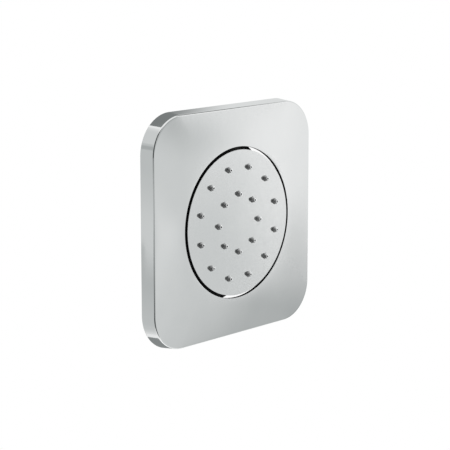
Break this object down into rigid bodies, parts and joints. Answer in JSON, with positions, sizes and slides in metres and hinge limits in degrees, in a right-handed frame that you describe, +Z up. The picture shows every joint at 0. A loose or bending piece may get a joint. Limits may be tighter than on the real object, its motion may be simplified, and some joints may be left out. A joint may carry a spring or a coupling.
{
  "type": "shower body jet",
  "caption": "Square wall-mounted shower body jet: chromed cover plate with rounded corners, round swivelling spray head with soft nozzles, concealed box and threaded inlet.",
  "frame": {"origin": "centre of the wall-screw pattern on the wall plane, behind the middle of the cover plate", "axes": "+Z up the wall, -Y out of the wall along the spray, +Y into the wall along the inlet thread"},
  "size_m": [0.12, 0.0606, 0.12],
  "materials": {
    "chrome": "polished chrome plate",
    "silicone": "satin grey silicone",
    "box_plastic": "fine moulded texture, black",
    "head_plastic": "moulded, dark grey",
    "brass": "turned, bare",
    "acetal": "natural acetal",
    "nylon": "natural nylon",
    "regulator_plastic": "moulded, blue",
    "seal_rubber": "black rubber",
    "foam": "closed-cell foam",
    "steel": "stainless"
  },
  "bodies": {
    "wall_set": {"cover_plate": "chrome", "rim_seal": "foam", "wall_box": "box_plastic", "grip_bushes": "nylon", "inlet_body": "brass", "inlet_gasket": "seal_rubber", "lock_nut": "brass", "flow_regulator": "regulator_plastic", "regulator_seal": "seal_rubber", "strainer": "steel", "ball_seal": "seal_rubber", "ball_collar": "brass"},
    "liner": {"ball_liner": "acetal"},
    "stem": {"ball_stem": "chrome", "stem_seal": "seal_rubber", "stem_clip": "steel"},
    "head": {"spray_face": "chrome", "nozzle_mat": "silicone", "head_back": "head_plastic", "head_screws": "steel"}
  },
  "joints": [
    {"name": "head_tilt", "type": "hinge", "parent": "wall_set", "child": "liner", "pos_m": [0, 0.01, 0], "axis": [1, 0, 0], "range_deg": [-8, 8]},
    {"name": "head_pan", "type": "hinge", "parent": "liner", "child": "stem", "pos_m": [0, 0.01, 0], "axis": [0, 0, 1], "range_deg": [-8, 8]},
    {"name": "head_spin", "type": "hinge", "parent": "stem", "child": "head", "pos_m": [0, 0, 0], "axis": [0, -1, 0], "continuous": true}
  ]
}
